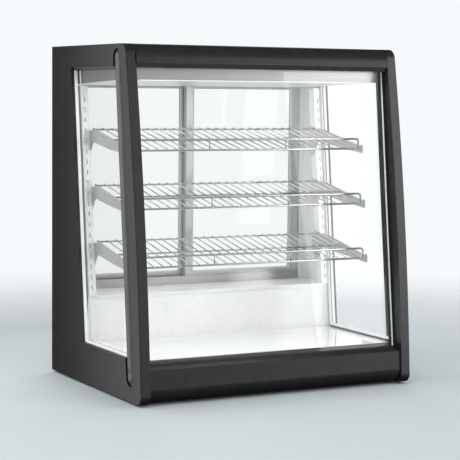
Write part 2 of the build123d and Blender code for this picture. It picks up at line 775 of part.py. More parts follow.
def make_led_driver():
    """Boxed lamp driver on the base tray, inside the service housing."""
    with BuildPart() as led_driver:
        slab(60, 190, 110, 60, 8.2, 36)
        fillet(led_driver.edges().filter_by(Axis.Z), 3)
        slab(48, 202, 95, 75, 8.2, 10.2)
    finish(led_driver, "led_driver")


# ---------------------------------------------------------------- sliding doors
def make_door_track(name, base_low, base_high, wall_low, wall_high):
    """Two-groove aluminium track between the jambs."""
    half = JAMB_INNER - 0.3
    middle = (TRACK_REAR + TRACK_FRONT) / 2
    walls = (TRACK_REAR + TRACK_WALL / 2, middle, TRACK_FRONT - TRACK_WALL / 2)
    with BuildPart() as door_track:
        slab(-half, half, TRACK_FRONT, TRACK_REAR, base_low, base_high)
        for distance in walls:
            slab(-half, half, distance + TRACK_WALL / 2, distance - TRACK_WALL / 2,
                 wall_low, wall_high)
    finish(door_track, name)


def make_door(label, side):
    """One sliding door: frame, pane, rear finger pull and nylon glides."""
    rear_face = DOOR_REAR_FACES[label]
    front_face = rear_face + DOOR_THICKNESS
    outer, inner = side * DOOR_OUTER_EDGE, -side * DOOR_OVERLAP
    x_low, x_high = min(outer, inner), max(outer, inner)
    pane = (rear_face + front_face) / 2
    with BuildPart() as door_frame:
        slab(x_low, x_high, front_face, rear_face, DOOR_BOTTOM, DOOR_TOP)
        slab(x_low + STILE, x_high - STILE, front_face + 1, rear_face - 1,
             BOTTOM_RAIL_TOP, TOP_RAIL_BOTTOM, mode=Mode.SUBTRACT)
        slab(x_low + STILE - 6, x_high - STILE + 6, pane + DOOR_GLASS / 2 + 0.05,
             pane - DOOR_GLASS / 2 - 0.05, BOTTOM_RAIL_TOP - 6, TOP_RAIL_BOTTOM + 6,
             mode=Mode.SUBTRACT)
        rear_edges = door_frame.edges().filter_by(Axis.Z).group_by(Axis.X)
        fillet(rear_edges[0] + rear_edges[-1], 1.2)
    finish(door_frame, f"{label}_door_frame")
    with BuildPart() as door_glass:
        slab(x_low + STILE - 5.9, x_high - STILE + 5.9, pane + DOOR_GLASS / 2,
             pane - DOOR_GLASS / 2, BOTTOM_RAIL_TOP - 5.9, TOP_RAIL_BOTTOM + 5.9)
    finish(door_glass, f"{label}_door_glass")
    pull_x = side * (DOOR_OUTER_EDGE - STILE / 2)
    pull_z = (DOOR_BOTTOM + DOOR_TOP) / 2
    with BuildPart() as door_pull:
        with BuildSketch(rear_plane(rear_face)):
            with Locations((-pull_x, pull_z)):
                SlotOverall(150, 14, rotation=90)
        extrude(amount=2.6)
        with BuildSketch(rear_plane(rear_face - 2.6)):
            with Locations((-pull_x, pull_z)):
                SlotOverall(142, 8, rotation=90)
        extrude(amount=-1.8, mode=Mode.SUBTRACT)
    finish(door_pull, f"{label}_door_pull")
    with BuildPart() as door_glides:
        for x in (x_low + 30, x_high - 30):
            slab(x - 12, x + 12, pane + 4, pane - 4, DOOR_BOTTOM - 2.9, DOOR_BOTTOM)
            slab(x - 12, x + 12, pane + 4, pane - 4, DOOR_TOP, DOOR_TOP + 6)
        fillet(door_glides.edges().filter_by(Axis.Y), 1.0)
    finish(door_glides, f"{label}_door_glides")


# ---------------------------------------------------------------- build everything
for label, sign in SIDES.items():
    make_end_panel(f"{label}_end_panel", sign)
    make_post_insert(f"{label}_post_insert", sign)
    make_side_glass(f"{label}_side_glass", sign)
    make_glazing_beads(f"{label}_glazing_beads", sign)
    make_wall_liner(f"{label}_wall_liner", sign)
    make_pilaster(f"{label}_pilaster", sign)
    make_glass_seal(f"{label}_glass_seal", sign)
    make_door(label, sign)
    for level_name, level_index in SHELVES.items():
        make_bracket(f"{label}_bracket_{level_name}", sign, level_index)
for level_name, level_index in SHELVES.items():
    make_shelf(f"shelf_{level_name}", level_index)
make_top_front_rail()
make_top_rail_lip()
make_top_panel()
make_ceiling_liner()
make_header()
make_lamp()
make_front_glass()
make_bottom_front_rail()
make_sill_gasket()
make_base_pan()
for foot_name, foot_place in zip(FOOT_NAMES, FOOT_PLACES):
    make_foot(foot_name, foot_place)
make_foot_screws()
make_deck_plate()
make_housing_front()
make_ledge()
make_rear_lower_panel()
make_rear_screws()
make_power_inlet()
make_power_switch()
make_led_driver()
make_door_track("door_top_track", CEILING_Z - 4, CEILING_Z - 0.3, HEADER_Z, CEILING_Z - 4)
make_door_track("door_bottom_track", LEDGE_Z, LEDGE_Z + 3, LEDGE_Z + 3, TRACK_WALL_TOP)
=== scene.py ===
import math

import bmesh
import bpy
from mathutils import Matrix, Vector


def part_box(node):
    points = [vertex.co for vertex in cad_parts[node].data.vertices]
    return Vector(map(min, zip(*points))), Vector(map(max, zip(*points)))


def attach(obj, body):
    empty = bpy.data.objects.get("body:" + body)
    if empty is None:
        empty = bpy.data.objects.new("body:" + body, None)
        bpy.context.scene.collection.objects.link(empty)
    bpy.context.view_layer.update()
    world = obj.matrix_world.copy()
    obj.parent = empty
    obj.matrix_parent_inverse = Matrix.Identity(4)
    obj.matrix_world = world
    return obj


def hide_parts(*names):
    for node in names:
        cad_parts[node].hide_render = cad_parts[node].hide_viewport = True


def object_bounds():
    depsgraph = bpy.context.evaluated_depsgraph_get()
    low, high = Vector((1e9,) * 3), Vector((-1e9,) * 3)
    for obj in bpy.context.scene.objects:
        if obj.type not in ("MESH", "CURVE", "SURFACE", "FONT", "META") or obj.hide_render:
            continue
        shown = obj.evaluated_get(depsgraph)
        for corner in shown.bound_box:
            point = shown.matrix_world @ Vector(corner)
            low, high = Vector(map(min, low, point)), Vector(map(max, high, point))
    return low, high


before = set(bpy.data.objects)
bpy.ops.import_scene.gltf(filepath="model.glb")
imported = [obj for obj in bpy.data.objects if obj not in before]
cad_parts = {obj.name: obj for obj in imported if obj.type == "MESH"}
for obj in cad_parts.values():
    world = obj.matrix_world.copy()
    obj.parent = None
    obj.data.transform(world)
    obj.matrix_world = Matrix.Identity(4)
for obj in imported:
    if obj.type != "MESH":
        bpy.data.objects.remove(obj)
cad_low, cad_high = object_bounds()

# A countertop bakery display case in a plain pale studio. Everything is in metres, in the
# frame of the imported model: +X is the customer's right, +Y runs back to the sliding doors.

MM = 0.001
SIDES = {"left": -1, "right": 1}
LEVELS = ("upper", "middle", "lower")


# ------------------------------------------------------------------ materials
EDGE_ROUND = 0.5 * MM       # how far sharp edges look rounded in the shading
BEAD_SHADE_HEIGHT = 7.2 * MM       # height of the bead's top strip under the header pan, coloured dark grey as painted shade
NOISE_LOW, NOISE_HIGH = 0.3, 0.7        # a noise field seldom leaves this range
GRAIN_STRETCH = 0.005       # how dense brushed grain is along its axis, against 1 across it
LOOKS_DOWN = -0.6           # a face whose normal has a smaller Z is the pan's lower side, coloured white as painted brightness
PANE_MIRROR_MOST = 0.55     # share thrown back by a pane seen edge on
PANE_MIRROR_POWER = 5.0     # how late the mirror share rises with the slant
PANE_IS_FACE = 0.7          # a normal this far along face_axis or more is a big face


class Finish:
    """A material: one Principled shader with procedural patterns in front of it."""

    def __init__(self, name, colour, roughness, metallic=0.0):
        self.material = bpy.data.materials.new(name)
        self.material.use_nodes = True
        self.nodes = self.material.node_tree.nodes
        self.links = self.material.node_tree.links
        self.shader = self.nodes["Principled BSDF"]
        self.shader.inputs["Base Color"].default_value = (*colour, 1)
        self.shader.inputs["Roughness"].default_value = roughness
        self.shader.inputs["Metallic"].default_value = metallic
        self.colour, self.roughness = colour, roughness
        self.place = self.nodes.new("ShaderNodeTexCoord").outputs["Object"]

    def stretch(self, scale):
        """Object coordinates scaled by one number for each axis."""
        mapping = self.nodes.new("ShaderNodeMapping")
        mapping.inputs["Scale"].default_value = scale
        self.links.new(self.place, mapping.inputs["Vector"])
        return mapping.outputs["Vector"]

    def noise(self, scale, detail=4.0, stretch=(1, 1, 1), rough=0.55):
        """A noise field with about `scale` features to the metre."""
        texture = self.nodes.new("ShaderNodeTexNoise")
        texture.inputs["Scale"].default_value = scale
        texture.inputs["Detail"].default_value = detail
        texture.inputs["Roughness"].default_value = rough
        self.links.new(self.stretch(stretch), texture.inputs["Vector"])
        return texture.outputs["Fac"]

    def cells(self, scale):
        """Random grey cells, as on zinc plate."""
        texture = self.nodes.new("ShaderNodeTexVoronoi")
        texture.inputs["Scale"].default_value = scale
        self.links.new(self.place, texture.inputs["Vector"])
        grey = self.nodes.new("ShaderNodeSeparateColor")
        self.links.new(texture.outputs["Color"], grey.inputs["Color"])
        return grey.outputs["Red"]

    def spread(self, field, low, high):
        """The usual range of a noise field spread from low to high."""
        spread = self.nodes.new("ShaderNodeMapRange")
        spread.inputs["From Min"].default_value = NOISE_LOW
        spread.inputs["From Max"].default_value = NOISE_HIGH
        spread.inputs["To Min"].default_value = low
        spread.inputs["To Max"].default_value = high
        self.links.new(field, spread.inputs["Value"])
        return spread.outputs["Result"]

    def tint(self, field, share):
        """Let the colour lighten and darken by this share with the field."""
        mix = self.nodes.new("ShaderNodeMix")
        mix.data_type = "RGBA"
        mix.inputs["A"].default_value = (*(c * (1 - share) for c in self.colour), 1)
        mix.inputs["B"].default_value = (*(min(1, c * (1 + share)) for c in self.colour), 1)
        self.links.new(self.spread(field, 0, 1), mix.inputs["Factor"])
        self.links.new(mix.outputs["Result"], self.shader.inputs["Base Color"])
        return self

    def haze(self, field, share):
        """Let the roughness rise and fall by this share with the field."""
        low, high = self.roughness * (1 - share), self.roughness * (1 + share)
        self.links.new(self.spread(field, low, high), self.shader.inputs["Roughness"])
        return self

    def relief(self, field, depth, strength=1.0):
        """Fine surface relief of this depth in metres, over slightly rounded sharp edges."""
        edge = self.nodes.new("ShaderNodeBevel")
        edge.samples = 4
        edge.inputs["Radius"].default_value = EDGE_ROUND
        bump = self.nodes.new("ShaderNodeBump")
        self.links.new(edge.outputs["Normal"], bump.inputs["Normal"])
        bump.inputs["Strength"].default_value = strength
        bump.inputs["Distance"].default_value = depth
        self.links.new(field, bump.inputs["Height"])
        self.links.new(bump.outputs["Normal"], self.shader.inputs["Normal"])
        return self

    def mask(self, axis, below):
        """One where the surface looks along this axis by less than `below`, else nought."""
        normal = self.nodes.new("ShaderNodeSeparateXYZ")
        coordinates = self.nodes.new("ShaderNodeTexCoord")
        self.links.new(coordinates.outputs["Normal"], normal.inputs["Vector"])
        test = self.nodes.new("ShaderNodeMath")
        test.operation = "LESS_THAN"
        test.inputs[1].default_value = below
        self.links.new(normal.outputs[axis], test.inputs[0])
        return test.outputs["Value"]

    def second_colour(self, mask, colour, socket="Base Color"):
        """Change the colour to this one where the mask is one."""
        mix = self.nodes.new("ShaderNodeMix")
        mix.data_type = "RGBA"
        self.links.new(self.shader.inputs[socket].links[0].from_socket, mix.inputs["A"])
        mix.inputs["B"].default_value = (*colour, 1)
        self.links.new(mask, mix.inputs["Factor"])
        self.links.new(mix.outputs["Result"], self.shader.inputs[socket])
        return self

    def put(self, **values):
        """Set sockets of the shader by name, spaces written as underscores."""
        for name, value in values.items():
            self.shader.inputs[name.replace("_", " ")].default_value = value
        return self


def powder_coat():
    """Satin black powder coat with fine orange peel."""
    made = Finish("satin_black_powder_coat", (0.012, 0.012, 0.0123), 0.40)
    made.tint(made.noise(60, 6), 0.25).haze(made.noise(220, 5), 0.14)
    made.relief(made.noise(1100, 3), 0.00006, 0.5)
    return made.put(Specular_IOR_Level=0.38)


def moulded_black():
    """Satin black moulding with a fine spark texture."""
    made = Finish("satin_black_moulding", (0.010, 0.0098, 0.010), 0.36)
    made.tint(made.noise(45, 6), 0.18).haze(made.noise(160, 6), 0.14)
    return made.relief(made.noise(1700, 3), 0.00005, 0.5)


def rubber():
    """Matt black rubber trim."""
    made = Finish("matt_black_rubber", (0.022, 0.022, 0.023), 0.52)
    made.tint(made.noise(90, 5), 0.3).haze(made.noise(260, 4), 0.15)
    return made.relief(made.noise(1400, 4), 0.00008, 0.5).put(Specular_IOR_Level=0.45)


def trim_bead():
    """Dark grey soft trim strip of the post grooves."""
    made = Finish("soft_grey_trim", (0.085, 0.084, 0.083), 0.38)
    made.tint(made.noise(70, 5, (1, 1, 0.15)), 0.2).haze(made.noise(200, 4), 0.2)
    return made.relief(made.noise(900, 3), 0.00005, 0.4)


def black_plastic():
    """Fine-textured black plastic of the switch, inlet, pulls and end caps."""
    made = Finish("textured_black_plastic", (0.018, 0.018, 0.019), 0.45)
    made.tint(made.noise(120, 5), 0.25).haze(made.noise(500, 3), 0.15)
    return made.relief(made.noise(2600, 2), 0.00008, 0.6)


def white_enamel():
    """Glossy white enamel of the display floor and ceiling."""
    made = Finish("gloss_white_enamel", (0.84, 0.845, 0.85), 0.09)
    made.tint(made.noise(9, 4), 0.02).haze(made.noise(25, 5), 0.3)
    made.relief(made.noise(320, 2), 0.00003, 0.25)
    return made.put(Coat_Weight=0.5, Coat_Roughness=0.03)


def white_panel():
    """Semi-gloss white panel behind the display floor."""
    made = Finish("satin_white_panel", (0.86, 0.862, 0.865), 0.3)
    made.tint(made.noise(12, 4), 0.03).haze(made.noise(60, 5), 0.2)
    return made.relief(made.noise(700, 3), 0.00004, 0.3)


def brushed(name, colour, roughness, along, grain=1500.0, metallic=1.0):
    """Brushed metal with its grain along one axis."""
    stretch = tuple(GRAIN_STRETCH if axis == along else 1.0 for axis in "XYZ")
    made = Finish(name, colour, roughness, metallic)
    grain_field = made.noise(grain, 4, stretch)
    made.tint(made.noise(grain * 0.6, 5, stretch), 0.05).haze(grain_field, 0.2)
    return made.relief(grain_field, 0.00001, 0.25)


def pan_sheet():
    """Brushed stainless of the header pan, coloured white as painted brightness on the side that
    looks down.
    """
    made = brushed("brushed_stainless_pan", (0.34, 0.343, 0.347), 0.34, "X")
    # Painted brightness: faces that look down get a white, non-metal colour instead of the
    # stainless.
    painted_bright_underside = made.mask("Z", LOOKS_DOWN)
    made.second_colour(painted_bright_underside, (0.86, 0.862, 0.865))
    metal = made.nodes.new("ShaderNodeMapRange")
    metal.inputs["To Min"].default_value = 0.8
    metal.inputs["To Max"].default_value = 0.0
    made.links.new(painted_bright_underside, metal.inputs["Value"])
    made.links.new(metal.outputs["Result"], made.shader.inputs["Metallic"])
    return made


def glazing_bead():
    """Pale bead round the side panes, with painted shade: dark grey along its top strip, under
    the pan.
    """
    made = pale_plastic("white_glazing_bead", (0.82, 0.825, 0.83), 0.3)
    height = made.nodes.new("ShaderNodeSeparateXYZ")
    made.links.new(made.place, height.inputs["Vector"])
    # Painted shade: the bead's top strip under the header pan is coloured dark grey.
    upper = made.nodes.new("ShaderNodeMath")
    upper.operation = "GREATER_THAN"
    upper.inputs[1].default_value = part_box("left_glazing_beads")[1].z - BEAD_SHADE_HEIGHT
    made.links.new(height.outputs["Z"], upper.inputs[0])
    return made.second_colour(upper.outputs["Value"], (0.10, 0.101, 0.103))


def zinc_plate(name, colour, metallic):
    """Bright zinc plate with faint spangle, for the standards and brackets."""
    made = Finish(name, colour, 0.38, metallic)
    made.tint(made.cells(420), 0.07).haze(made.noise(130, 5), 0.2)
    return made.relief(made.noise(900, 3), 0.00003, 0.35)


def chrome():
    """Bright chrome plate of the wire shelves."""
    made = Finish("bright_chrome_plate", (0.74, 0.745, 0.75), 0.12, 1.0)
    made.tint(made.noise(40, 4), 0.05).haze(made.noise(300, 5), 0.35)
    return made.relief(made.noise(1500, 3), 0.00002, 0.25)


def pale_plastic(name, colour, roughness):
    """Semi-gloss pale plastic."""
    made = Finish(name, colour, roughness)
    made.tint(made.noise(70, 5), 0.04).haze(made.noise(220, 4), 0.2)
    return made.relief(made.noise(900, 3), 0.00004, 0.3)


def grey_coat():
    """Matt grey coat of the base tray."""
    made = Finish("matt_grey_coat", (0.16, 0.163, 0.168), 0.55)
    made.tint(made.noise(30, 6), 0.12).haze(made.noise(140, 5), 0.15)
    return made.relief(made.noise(900, 4), 0.00006, 0.5)


def lit_diffuser():
    """Opal lamp cover, lit from inside, a little brighter along its middle."""
    made = Finish("opal_lamp_cover", (0.92, 0.92, 0.91), 0.4)
    made.tint(made.noise(200, 3), 0.03)
    made.links.new(made.spread(made.noise(35, 2, (1, 0.02, 0.02)), 0.9, 1.1),
                   made.shader.inputs["Emission Strength"])
    return made.put(Emission_Color=(1.0, 0.985, 0.96, 1))


def pane(name, face_axis, edge_tint_and_highlight, least_mirror=0.02):
    """Clear polished glass: see-through faces with a thin reflection, and an opaque pale cut
    edge that is partly the glass's own green and partly a painted highlight.

    face_axis is 0, 1 or 2: the axis that the two big faces look along. least_mirror is the
    share of light that a face throws back when it is seen square on.
    """
    # The cut edge's pale colour is partly the glass's own green and partly a painted highlight.
    made = Finish(name, edge_tint_and_highlight, 0.18)
    made.tint(made.noise(150, 4), 0.06).haze(made.noise(400, 3), 0.2)
    made.relief(made.noise(600, 2), 0.00004, 0.4)
    nodes, links = made.nodes, made.links
    clear = nodes.new("ShaderNodeBsdfTransparent")
    clear.inputs["Color"].default_value = (0.997, 0.999, 0.998, 1)
    mirror = nodes.new("ShaderNodeBsdfGlossy")
    mirror.inputs["Color"].default_value = (0.92, 0.95, 0.94, 1)
    links.new(made.spread(made.noise(14, 5), 0.0, 0.03), mirror.inputs["Roughness"])
    slope = nodes.new("ShaderNodeLayerWeight")
    slope.inputs["Blend"].default_value = 0.5
    fall = nodes.new("ShaderNodeMath")
    fall.operation = "POWER"
    fall.inputs[1].default_value = PANE_MIRROR_POWER
    links.new(slope.outputs["Facing"], fall.inputs[0])
    share = nodes.new("ShaderNodeMapRange")
    share.inputs["To Min"].default_value = least_mirror
    share.inputs["To Max"].default_value = PANE_MIRROR_MOST
    links.new(fall.outputs["Value"], share.inputs["Value"])
    face = nodes.new("ShaderNodeMixShader")
    links.new(share.outputs["Result"], face.inputs[0])
    links.new(clear.outputs["BSDF"], face.inputs[1])
    links.new(mirror.outputs["BSDF"], face.inputs[2])
    normal = nodes.new("ShaderNodeSeparateXYZ")
    links.new(nodes.new("ShaderNodeTexCoord").outputs["Normal"], normal.inputs["Vector"])
    size = nodes.new("ShaderNodeMath")
    size.operation = "ABSOLUTE"
    links.new(normal.outputs[face_axis], size.inputs[0])
    is_edge = nodes.new("ShaderNodeMath")
    is_edge.operation = "LESS_THAN"
    is_edge.inputs[1].default_value = PANE_IS_FACE
    links.new(size.outputs["Value"], is_edge.inputs[0])
    whole = nodes.new("ShaderNodeMixShader")
    links.new(is_edge.outputs["Value"], whole.inputs[0])
    links.new(face.outputs["Shader"], whole.inputs[1])
    links.new(made.shader.outputs["BSDF"], whole.inputs[2])
    links.new(whole.outputs["Shader"], nodes["Material Output"].inputs["Surface"])
    return made


# Green-white of the cut glass edges: the glass's own green, lightened as a painted highlight.
EDGE_TINT_AND_HIGHLIGHT = (0.86, 0.93, 0.90)
finishes = {
    "coat": powder_coat(),
    "moulding": moulded_black(),
    "rubber": rubber(),
    "bead": trim_bead(),
    "plastic": black_plastic(),
    "enamel": white_enamel(),
    "panel": white_panel(),
    "pan": pan_sheet(),
    "ledge": brushed("satin_stainless", (0.86, 0.863, 0.866), 0.26, "X", metallic=0.25),
    "liner": brushed("bright_liner_sheet", (0.84, 0.845, 0.85), 0.34, "Z", 900.0, 0.4),
    "anodised_upright": brushed("anodised_door_frame", (0.56, 0.565, 0.57), 0.30, "Z",
                                metallic=0.6),
    "anodised_track": brushed("anodised_track", (0.42, 0.425, 0.43), 0.32, "X"),
    "anodised_lip": brushed("anodised_lip", (0.34, 0.343, 0.348), 0.34, "X"),
    "zinc": zinc_plate("bright_zinc_plate", (0.60, 0.603, 0.607), 0.75),
    "standard": zinc_plate("white_zinc_plate", (0.84, 0.843, 0.846), 0.3),
    "chrome": chrome(),
    "pale_trim": glazing_bead(),
    "gasket": pale_plastic("pale_door_gasket", (0.56, 0.565, 0.57), 0.45),
    "nylon": pale_plastic("natural_nylon", (0.72, 0.71, 0.67), 0.42),
    "grey_coat": grey_coat(),
    "diffuser": lit_diffuser(),
    "screw": brushed("zinc_screw", (0.55, 0.55, 0.56), 0.3, "Z", 2500.0),
    "driver": brushed("driver_case_sheet", (0.68, 0.68, 0.69), 0.38, "X", 900.0),
    "side_pane": pane("side_glass_pane", 0, (0.62, 0.70, 0.67)),
    "front_pane": pane("front_glass_pane", 1, EDGE_TINT_AND_HIGHLIGHT),
    "door_pane": pane("door_glass_pane", 1, EDGE_TINT_AND_HIGHLIGHT, 0.01),
}

NODE_FINISH = {
    "top_front_rail": "coat", "top_panel": "coat", "bottom_front_rail": "coat",
    "top_rail_lip": "anodised_lip", "ceiling_liner": "enamel", "header": "pan",
    "lamp_housing": "anodised_track", "lamp_diffuser": "diffuser", "lamp_end_caps": "plastic",
    "front_glass": "front_pane", "sill_gasket": "rubber", "base_pan": "grey_coat",
    "foot_front_left": "rubber", "foot_front_right": "rubber",
    "foot_rear_left": "rubber", "foot_rear_right": "rubber", "foot_screws": "screw",
    "deck_plate": "enamel", "housing_front_panel": "panel", "ledge": "ledge",
    "rear_lower_panel": "coat", "rear_panel_screws": "screw", "power_inlet": "plastic",
    "switch_bezel": "plastic", "switch_rocker": "plastic", "led_driver": "driver",
    "door_top_track": "anodised_track", "door_bottom_track": "anodised_track",
}
SIDED_FINISH = {
    "end_panel": "moulding", "post_insert": "bead", "side_glass": "side_pane",
    "glazing_beads": "pale_trim", "wall_liner": "liner", "pilaster": "standard",
    "glass_seal": "rubber", "door_frame": "anodised_upright", "door_glass": "door_pane",
    "door_pull": "plastic", "door_glides": "nylon", "bracket_upper": "zinc",
    "bracket_middle": "zinc", "bracket_lower": "zinc",
}
for side_name in SIDES:
    for part_name, finish_name in SIDED_FINISH.items():
        NODE_FINISH[f"{side_name}_{part_name}"] = finish_name
for level_name in LEVELS:
    NODE_FINISH[f"shelf_{level_name}"] = "chrome"


def dress(obj, finish_name):
    """Give an object one material."""
    obj.data.materials.clear()
    obj.data.materials.append(finishes[finish_name].material)


for node_name, finish_name in NODE_FINISH.items():
    dress(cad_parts[node_name], finish_name)


# ------------------------------------------------------------------ mesh helpers
def add_piece(name, mesh, finish_name, body, smooth=True):
    """Link a finished mesh as a piece that rides on a body."""
    obj = bpy.data.objects.new(name, mesh)
    bpy.context.scene.collection.objects.link(obj)
    dress(obj, finish_name)
    for polygon in mesh.polygons:
        polygon.use_smooth = smooth
    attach(obj, body)
    return obj


def mesh_from(bm, name):
    """Close a bmesh into a mesh with outward normals."""
    bmesh.ops.recalc_face_normals(bm, faces=bm.faces)
    mesh = bpy.data.meshes.new(name)
    bm.to_mesh(mesh)
    bm.free()
    return mesh


def skin_rings(bm, rings, closed=False):
    """Faces between rings of vertices that have equal counts. Ends are capped unless closed."""
    made = [[bm.verts.new(point) for point in ring] for ring in rings]
    pairs = list(zip(made, made[1:])) + ([(made[-1], made[0])] if closed else [])
    count = len(made[0])
    for first, second in pairs:
        for i in range(count):
            j = (i + 1) % count
            bm.faces.new((first[i], first[j], second[j], second[i]))
    if not closed:
        bm.faces.new(made[0])
        bm.faces.new(reversed(made[-1]))


END_DOME, END_SIZE = 0.35, 0.72     # a wire end's rounding and its flat, in wire radii


def tube(bm, points, radius, sides):
    """A round wire along points, with softly rounded ends."""
    start = (points[1] - points[0]).normalized()
    finish = (points[-1] - points[-2]).normalized()
    dome = END_DOME * radius
    path = ([points[0], points[0] + start * dome] + points[1:-1]
            + [points[-1] - finish * dome, points[-1]])
    sizes = [END_SIZE * radius] + [radius] * (len(path) - 2) + [END_SIZE * radius]
    across = start.orthogonal().normalized()
    rings = []
    for i, (place, size) in enumerate(zip(path, sizes)):
        before, after = path[max(i - 1, 0)], path[min(i + 1, len(path) - 1)]
        along = (after - before).normalized()
        across = (across - along * across.dot(along)).normalized()
        other = along.cross(across)
        turns = [2 * math.pi * k / sides for k in range(sides)]
        rings.append([place + size * (across * math.cos(a) + other * math.sin(a))
                      for a in turns])
    skin_rings(bm, rings)


def arc(centre, start, end, steps):
    """Points on a quarter round from centre + start to centre + end."""
    return [centre + start * math.cos(a) + end * math.sin(a)
            for a in (math.pi / 2 * k / steps for k in range(steps + 1))]


# ------------------------------------------------------------------ wire shelves
WIRE, ROD, FRAME_ROD = 1.5 * MM, 2.25 * MM, 2.5 * MM       # radii
SHELF_LENGTH = 213 * MM
SHELF_TILT = math.radians(11.6)
WIRE_COUNT, WIRE_PITCH = 27, 23.6 * MM
FENCE_INSET, FENCE_HEIGHT, FENCE_CORNER = 3.2 * MM, 24 * MM, 7 * MM
WIRE_SINK = 0.8 * MM
WIRE_OVERHANG = 3 * MM
ROD_SIDES, WIRE_SIDES, CORNER_STEPS = 14, 10, 6
# Weld beads: size in wire radii and height for width. Rise is in rod radii above the rod's axis.
CROSS_WELD_SIZE, CROSS_WELD_FLAT, CROSS_WELD_RISE = 1.35, 0.6, 0.8
FENCE_WELD_SIZE, FENCE_WELD_FLAT = 1.12, 1.0


def weld_bead(bm, place, radius, flat):
    """A small flattened bead of weld metal where two wires cross."""
    size = Matrix.Diagonal((radius, radius, radius * flat, 1))
    bmesh.ops.create_icosphere(bm, subdivisions=2, radius=1,
                               matrix=Matrix.Translation(place) @ size)


def shelf_wirework(level):
    """A tilted wire shelf: rods, front-to-back wires, a front fence and its welds."""
    low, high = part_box(f"shelf_{level}")
    back = Vector((0, math.cos(SHELF_TILT), math.sin(SHELF_TILT)))
    up = Vector((0, -math.sin(SHELF_TILT), math.cos(SHELF_TILT)))
    side = Vector((1, 0, 0))
    front = Vector((0, low.y + FRAME_ROD, low.z + FRAME_ROD))
    lift = up * (ROD + WIRE - WIRE_SINK)
    half = high.x
    rods = {0.0: FRAME_ROD, SHELF_LENGTH / 2: ROD, SHELF_LENGTH: ROD}
    bm = bmesh.new()
    for along, radius in rods.items():
        centre = front + back * along
        tube(bm, [centre - side * half, centre - side * half / 3,
                  centre + side * half / 3, centre + side * half], radius, ROD_SIDES)
    for i in range(WIRE_COUNT):
        x = side * (i - (WIRE_COUNT - 1) / 2) * WIRE_PITCH
        head = front + x + lift
        tail = head + back * (SHELF_LENGTH + WIRE_OVERHANG)
        tube(bm, [head, head.lerp(tail, 0.5), tail], WIRE, WIRE_SIDES)
        for along in rods:
            weld_bead(bm, front + x + back * along + up * ROD * CROSS_WELD_RISE,
                      WIRE * CROSS_WELD_SIZE, CROSS_WELD_FLAT)
    corner = half - FENCE_INSET
    top = Vector((0, 0, FENCE_HEIGHT))
    centre = front + top - Vector((0, 0, FENCE_CORNER))
    path = [front - side * corner]
    path += arc(centre - side * (corner - FENCE_CORNER), -side * FENCE_CORNER,
                Vector((0, 0, FENCE_CORNER)), CORNER_STEPS)
    path += arc(centre + side * (corner - FENCE_CORNER), Vector((0, 0, FENCE_CORNER)),
                side * FENCE_CORNER, CORNER_STEPS)
    path += [front + side * corner]
    tube(bm, path, FRAME_ROD, ROD_SIDES)
    for x in (-corner / 3, corner / 3):
        tube(bm, [front + side * x, front + side * x + top / 2, front + side * x + top],
             WIRE, WIRE_SIDES)
        for end in (front, front + top):
            weld_bead(bm, end + side * x, FRAME_ROD * FENCE_WELD_SIZE, FENCE_WELD_FLAT)
    shelf = add_piece(f"shelf_{level}_wirework", mesh_from(bm, f"shelf_{level}_wirework"),
                      "chrome", f"shelf_{level}")
    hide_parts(f"shelf_{level}")


for level_name in LEVELS:
    shelf_wirework(level_name)


# ------------------------------------------------------------------ post trim strips
STRIP_RADIUS = 13.5 * MM
SEAM_AT, SEAM_HALF, SEAM_DEPTH = 9 * MM, 0.45 * MM, 0.5 * MM
STRIP_UNDERSIDE = 0.1 * MM          # how far the middle of its back goes past the CAD strip's
DOME_STEPS, LENGTH_STEPS, ACROSS_STEPS = 9, 24, 16
DOME_POWER, CREST_POWER = 0.8, 2.2  # how the strip falls to its ends and to its sides
SAME_PLACE = 1e-7


def trim_strip(side_name, side):
    """Convex strip with domed ends and end-cap seams, lying in the groove of a post."""
    low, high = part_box(f"{side_name}_post_insert")
    floor_x = high.x if side < 0 else low.x
    crest = high.x - low.x
    bottom = Vector((floor_x, low.y + STRIP_RADIUS, low.z + STRIP_RADIUS))
    top = Vector((floor_x, high.y - STRIP_RADIUS, high.z - STRIP_RADIUS))
    along = (top - bottom).normalized()
    across = along.cross(Vector((side, 0, 0))).normalized()
    outward = Vector((side, 0, 0))
    length = (top - bottom).length
    dome = [STRIP_RADIUS * math.sin(math.pi / 2 * k / DOME_STEPS) for k in range(DOME_STEPS)]
    stations = [-d for d in reversed(dome[1:])] + [0.0]
    seams = [SEAM_AT - SEAM_HALF, SEAM_AT, SEAM_AT + SEAM_HALF]
    stations += seams + [length * k / LENGTH_STEPS for k in range(1, LENGTH_STEPS)]
    stations += [length - s for s in reversed(seams)] + [length]
    stations += [length + d for d in dome[1:]]
    bm = bmesh.new()
    rings = []
    for place in stations:
        over = max(-place, place - length, 0.0)
        half = math.sqrt(STRIP_RADIUS ** 2 - over ** 2)
        height = crest * (half / STRIP_RADIUS) ** DOME_POWER
        if any(abs(place - s) < SAME_PLACE for s in (SEAM_AT, length - SEAM_AT)):
            height -= SEAM_DEPTH
        ring = []
        for k in range(ACROSS_STEPS + 1):
            t = 2 * k / ACROSS_STEPS - 1
            rise = height * (1 - abs(t) ** CREST_POWER)
            ring.append(bottom + along * place + across * half * t + outward * rise)
        ring.append(bottom + along * place - outward * STRIP_UNDERSIDE)
        rings.append(ring)
    skin_rings(bm, rings)
    name = f"{side_name}_trim_strip"
    strip = add_piece(name, mesh_from(bm, name), "bead", "case")
    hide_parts(f"{side_name}_post_insert")


for side_name, side_sign in SIDES.items():
    trim_strip(side_name, side_sign)


# ------------------------------------------------------------------ door gaskets
STILE, BOTTOM_RAIL, TOP_RAIL = 19 * MM, 20 * MM, 28 * MM
GASKET_WIDTH = 5.5 * MM
